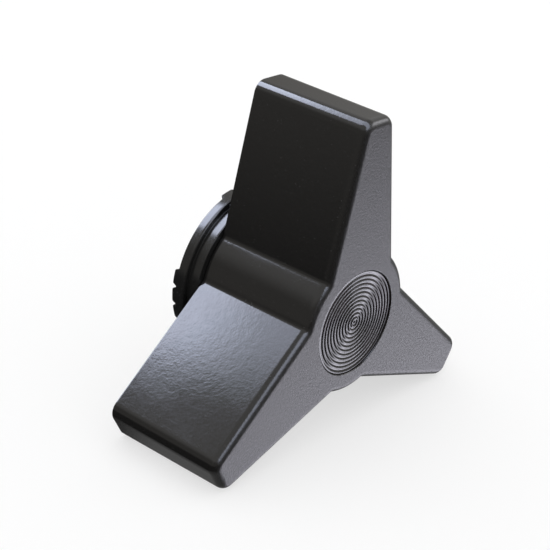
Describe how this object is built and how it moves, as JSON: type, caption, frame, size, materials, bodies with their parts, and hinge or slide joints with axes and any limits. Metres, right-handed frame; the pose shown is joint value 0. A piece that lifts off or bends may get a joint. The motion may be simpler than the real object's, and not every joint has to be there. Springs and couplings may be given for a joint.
{
  "type": "wing nut",
  "caption": "Moulded hand nut with three wings and a ringed front cap, on a brass insert, with a toothed clamping collar that turns freely behind it.",
  "frame": {"origin": "where the thread axis crosses the clamping face, the flat ring and tooth crests at the back of the collar", "axes": "+Y along the thread axis, out of the threaded hole towards what is clamped; +Z along one wing, which points up when the nut lies on its other two"},
  "size_m": [0.07, 0.03, 0.0613],
  "materials": {
    "body_black": "moulded black, glossy on the wings' sides and fine satin texture on the front face",
    "cap_black": "glossy black, turned rings",
    "insert_brass": "turned",
    "washer_steel": "plain stamped",
    "collar_black": "moulded black, satin gloss",
    "ring_steel": "phosphated spring steel"
  },
  "bodies": {
    "handle": {"wing_body": "body_black", "front_cap": "cap_black", "threaded_insert": "insert_brass", "retaining_ring": "ring_steel"},
    "washer": {"thrust_washer": "washer_steel"},
    "collar": {"swivel_collar": "collar_black"}
  },
  "joints": [
    {"name": "collar_turn", "type": "hinge", "parent": "handle", "child": "collar", "pos_m": [0, 0, 0], "axis": [0, 1, 0], "continuous": true},
    {"name": "washer_turn", "type": "hinge", "parent": "handle", "child": "washer", "pos_m": [0, -0.00485, 0], "axis": [0, 1, 0], "continuous": true}
  ]
}
